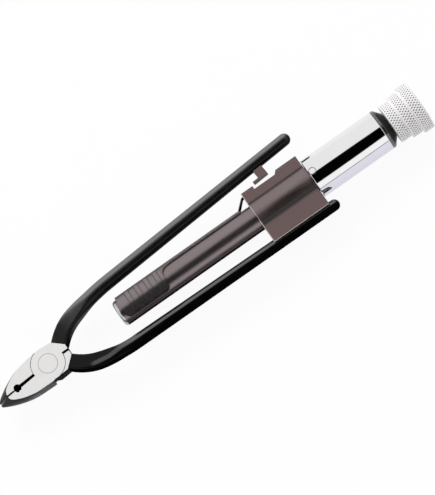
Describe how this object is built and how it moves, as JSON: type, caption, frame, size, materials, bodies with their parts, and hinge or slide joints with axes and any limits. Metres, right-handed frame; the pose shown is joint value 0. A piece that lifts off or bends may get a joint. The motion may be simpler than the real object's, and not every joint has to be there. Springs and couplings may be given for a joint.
{
  "type": "safety wire pliers",
  "caption": "Hand pliers that grip, cut and twist safety wire: lap-joint jaws, bent handles with a sliding lock, and a spiral pull rod with a knurled knob in a barrel between the handles.",
  "frame": {"origin": "the pivot's axis where it meets the back face of the head", "axes": "+X from the jaws along the barrel's axis to the pull knob, +Y towards the moving handle, +Z out of the front face of the head"},
  "size_m": [0.2375, 0.0459, 0.0252],
  "materials": {
    "forged_black": "semi-gloss black with ground bright head faces",
    "bright_steel": "ground",
    "burnished_sheet": "brown satin",
    "chrome": "polished",
    "black_collar": "gloss black",
    "knurled_knob": "diamond knurled and plated",
    "hardened_steel": "hardened",
    "bronze": "machined"
  },
  "bodies": {
    "frame": {"fixed_half": "forged_black", "pivot_rivet": "bright_steel", "bracket": "burnished_sheet", "guide_tube": "burnished_sheet", "tube_plug": "bright_steel", "front_bush": "bright_steel", "barrel": "chrome", "barrel_pin": "bright_steel", "clutch_ring": "hardened_steel", "clutch_rollers": "hardened_steel", "roller_springs": "hardened_steel", "thrust_washers": "bronze", "retaining_ring": "hardened_steel", "end_collar": "black_collar", "rod_bush": "bronze"},
    "handle": {"moving_half": "forged_black", "latch_hook": "burnished_sheet"},
    "lock": {"lock_slide": "burnished_sheet"},
    "nut": {"spiral_nut": "bronze"},
    "tail": {"tail_bush": "bronze"},
    "rod": {"twist_rod": "bright_steel", "tail_clip": "hardened_steel", "pull_knob": "knurled_knob", "knob_screw": "bright_steel"}
  },
  "joints": [
    {"name": "handle_pivot", "type": "hinge", "parent": "frame", "child": "handle", "pos_m": [0, 0, 0.004], "axis": [0, 0, 1], "range_deg": [-1.9, 22]},
    {"name": "lock_travel", "type": "slide", "parent": "frame", "child": "lock", "axis": [1, 0, 0], "range_m": [0, 0.004]},
    {"name": "clutch_spin", "type": "hinge", "parent": "frame", "child": "nut", "pos_m": [0.168, 0.0007, 0.004], "axis": [1, 0, 0], "continuous": true},
    {"name": "knob_pull", "type": "slide", "parent": "nut", "child": "tail", "axis": [1, 0, 0], "range_m": [0, 0.09]},
    {"name": "rod_spin", "type": "hinge", "parent": "tail", "child": "rod", "pos_m": [0.06, 0.0007, 0.004], "axis": [1, 0, 0], "range_deg": [-1, 1081]}
  ],
  "couplings": [
    {"joint": "rod_spin", "follows": "knob_pull", "rad_per_m": 209.44}
  ]
}
